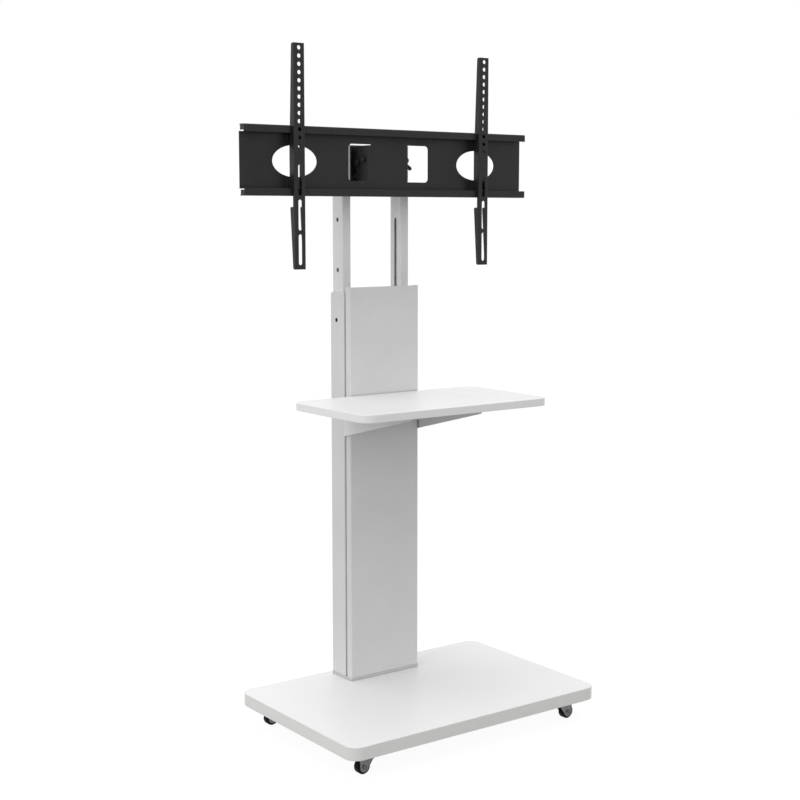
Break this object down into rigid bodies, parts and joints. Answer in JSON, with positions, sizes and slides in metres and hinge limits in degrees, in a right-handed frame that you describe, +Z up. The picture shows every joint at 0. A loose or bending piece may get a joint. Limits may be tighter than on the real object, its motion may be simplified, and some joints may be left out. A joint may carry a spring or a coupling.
{
  "type": "television stand with mount",
  "caption": "Rolling television stand with a castered base, telescopic column, height adjustable shelf and a tilting mount plate with two hook-on arms.",
  "frame": {"origin": "on the floor under the middle of the base board", "axes": "+Z up; -Y is the front, where the television looks; +X to the viewer's right"},
  "size_m": [0.68, 0.4, 1.332],
  "materials": {
    "board": "white laminate on particle board",
    "edge_band": "satin white edge band",
    "white_steel": "white powder coat",
    "black_steel": "fine black powder coat",
    "zinc": "zinc plated",
    "caster_steel": "zinc plated pressed steel",
    "white_nylon": "moulded nylon",
    "black_plastic": "fine moulded grain",
    "tyre": "smooth soft tread"
  },
  "bodies": {
    "stand": {"base_board": "board", "base_edge_band": "edge_band", "foot_plate": "white_steel", "foot_bolts": "zinc", "outer_tube_left": "white_steel", "outer_tube_right": "white_steel", "cross_bars": "white_steel", "column_cover": "white_steel", "cover_clips": "zinc", "guide_bush_left": "white_nylon", "guide_bush_right": "white_nylon", "lock_screws": "black_steel", "guide_screws": "zinc", "caster_screws": "zinc", "swivel_races": "zinc", "kingpins": "zinc", "caster_plate_1": "caster_steel", "caster_plate_2": "caster_steel", "caster_plate_3": "caster_steel", "caster_plate_4": "caster_steel"},
    "mast": {"post_left": "white_steel", "post_right": "white_steel", "post_caps": "black_plastic", "post_glides": "white_nylon", "head_crossbar": "black_steel", "mast_bolts": "zinc", "mast_nuts": "zinc", "tilt_bracket": "black_steel", "pivot_pin": "black_steel", "clamp_bolt": "black_steel"},
    "lever": {"clamp_lever": "black_plastic"},
    "plate": {"mount_plate": "black_steel"},
    "left_arm": {"arm_left": "black_steel"},
    "right_arm": {"arm_right": "black_steel"},
    "shelf": {"shelf_board": "board", "shelf_edge_band": "edge_band", "shelf_bracket_left": "white_steel", "shelf_bracket_right": "white_steel", "slot_nuts": "zinc", "slot_screws": "zinc", "shelf_screws": "zinc"},
    "swivel_1": {"caster_fork_1": "caster_steel", "caster_axle_1": "zinc"},
    "wheel_1": {"caster_wheel_1": "black_plastic", "caster_tyre_1": "tyre"},
    "swivel_2": {"caster_fork_2": "caster_steel", "caster_axle_2": "zinc"},
    "wheel_2": {"caster_wheel_2": "black_plastic", "caster_tyre_2": "tyre"},
    "swivel_3": {"caster_fork_3": "caster_steel", "caster_axle_3": "zinc"},
    "wheel_3": {"caster_wheel_3": "black_plastic", "caster_tyre_3": "tyre"},
    "swivel_4": {"caster_fork_4": "caster_steel", "caster_axle_4": "zinc"},
    "wheel_4": {"caster_wheel_4": "black_plastic", "caster_tyre_4": "tyre"}
  },
  "joints": [
    {"name": "mast_height", "type": "slide", "parent": "stand", "child": "mast", "axis": [0, 0, 1], "range_m": [-0.2, 0]},
    {"name": "plate_tilt", "type": "hinge", "parent": "mast", "child": "plate", "pos_m": [0, 0.143, 1.1172], "axis": [1, 0, 0], "range_deg": [-5, 10]},
    {"name": "lever_turn", "type": "hinge", "parent": "mast", "child": "lever", "pos_m": [0.0528, 0.121, 1.1232], "axis": [1, 0, 0], "range_deg": [-110, 0]},
    {"name": "left_arm_slide", "type": "slide", "parent": "plate", "child": "left_arm", "axis": [1, 0, 0], "range_m": [-0.075, 0.125]},
    {"name": "right_arm_slide", "type": "slide", "parent": "plate", "child": "right_arm", "axis": [1, 0, 0], "range_m": [-0.1214, 0.0786]},
    {"name": "shelf_height", "type": "slide", "parent": "stand", "child": "shelf", "axis": [0, 0, 1], "range_m": [-0.3, 0.04]},
    {"name": "swivel_turn_1", "type": "hinge", "parent": "stand", "child": "swivel_1", "pos_m": [-0.245, -0.16, 0.032], "axis": [0, 0, 1], "continuous": true},
    {"name": "wheel_spin_1", "type": "hinge", "parent": "swivel_1", "child": "wheel_1", "pos_m": [-0.252, -0.16, 0.014], "axis": [0, 1, 0], "continuous": true},
    {"name": "swivel_turn_2", "type": "hinge", "parent": "stand", "child": "swivel_2", "pos_m": [0.245, -0.16, 0.032], "axis": [0, 0, 1], "continuous": true},
    {"name": "wheel_spin_2", "type": "hinge", "parent": "swivel_2", "child": "wheel_2", "pos_m": [0.252, -0.16, 0.014], "axis": [0, 1, 0], "continuous": true},
    {"name": "swivel_turn_3", "type": "hinge", "parent": "stand", "child": "swivel_3", "pos_m": [-0.245, 0.16, 0.032], "axis": [0, 0, 1], "continuous": true},
    {"name": "wheel_spin_3", "type": "hinge", "parent": "swivel_3", "child": "wheel_3", "pos_m": [-0.252, 0.16, 0.014], "axis": [0, 1, 0], "continuous": true},
    {"name": "swivel_turn_4", "type": "hinge", "parent": "stand", "child": "swivel_4", "pos_m": [0.245, 0.16, 0.032], "axis": [0, 0, 1], "continuous": true},
    {"name": "wheel_spin_4", "type": "hinge", "parent": "swivel_4", "child": "wheel_4", "pos_m": [0.252, 0.16, 0.014], "axis": [0, 1, 0], "continuous": true}
  ]
}
